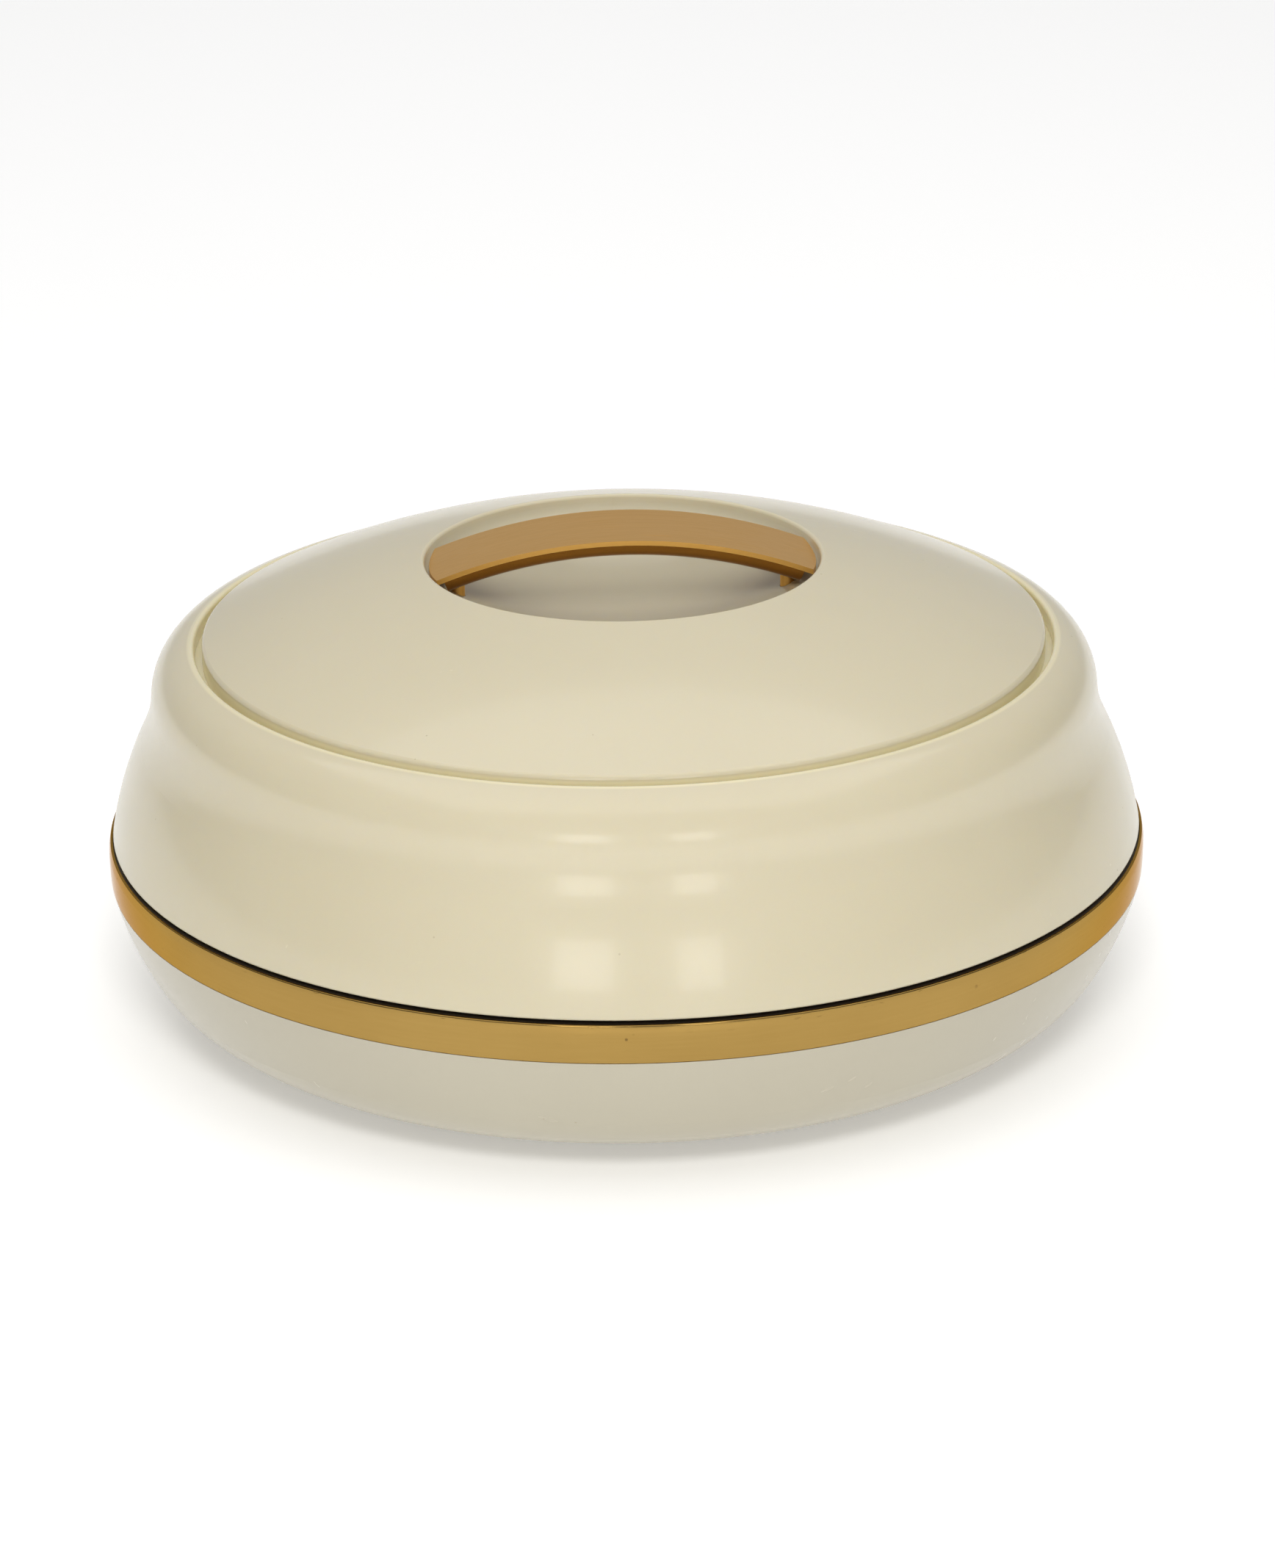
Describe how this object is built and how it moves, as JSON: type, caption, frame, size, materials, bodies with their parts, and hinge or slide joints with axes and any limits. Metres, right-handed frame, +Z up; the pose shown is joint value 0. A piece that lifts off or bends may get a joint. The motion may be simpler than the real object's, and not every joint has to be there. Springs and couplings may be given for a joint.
{
  "type": "insulated chapati casserole",
  "caption": "Round cream insulated casserole with a gold band and a lift-off lid with a gold strap handle over a finger recess.",
  "frame": {"origin": "centre of the foot ring, on the table", "axes": "+Z up along the casserole's axis, the handle strap along X"},
  "size_m": [0.301, 0.301, 0.1401],
  "materials": {
    "ivory_plastic": "gloss ivory polypropylene",
    "liner_plastic": "satin ivory polypropylene",
    "gold_plate": "gloss gold plating",
    "gold_grip": "gloss dark gold plating",
    "stainless": "circular brushed stainless steel",
    "screw_steel": "zinc plated",
    "foam": "rigid polyurethane foam"
  },
  "bodies": {
    "base": {"outer_bowl": "ivory_plastic", "gold_band": "gold_plate", "rim_collar": "ivory_plastic", "steel_bowl": "stainless", "base_foam": "foam", "base_plug": "ivory_plastic"},
    "lid": {"lid_shell": "ivory_plastic", "lid_disc": "ivory_plastic", "handle_strap": "gold_plate", "handle_grip": "gold_grip", "handle_screws": "screw_steel", "handle_washers": "screw_steel", "lid_liner": "liner_plastic", "lid_foam": "foam", "lid_plug": "liner_plastic"}
  },
  "joints": [
    {"name": "lid_lift", "type": "slide", "parent": "base", "child": "lid", "axis": [0, 0, 1], "range_m": [0, 0.12]}
  ]
}
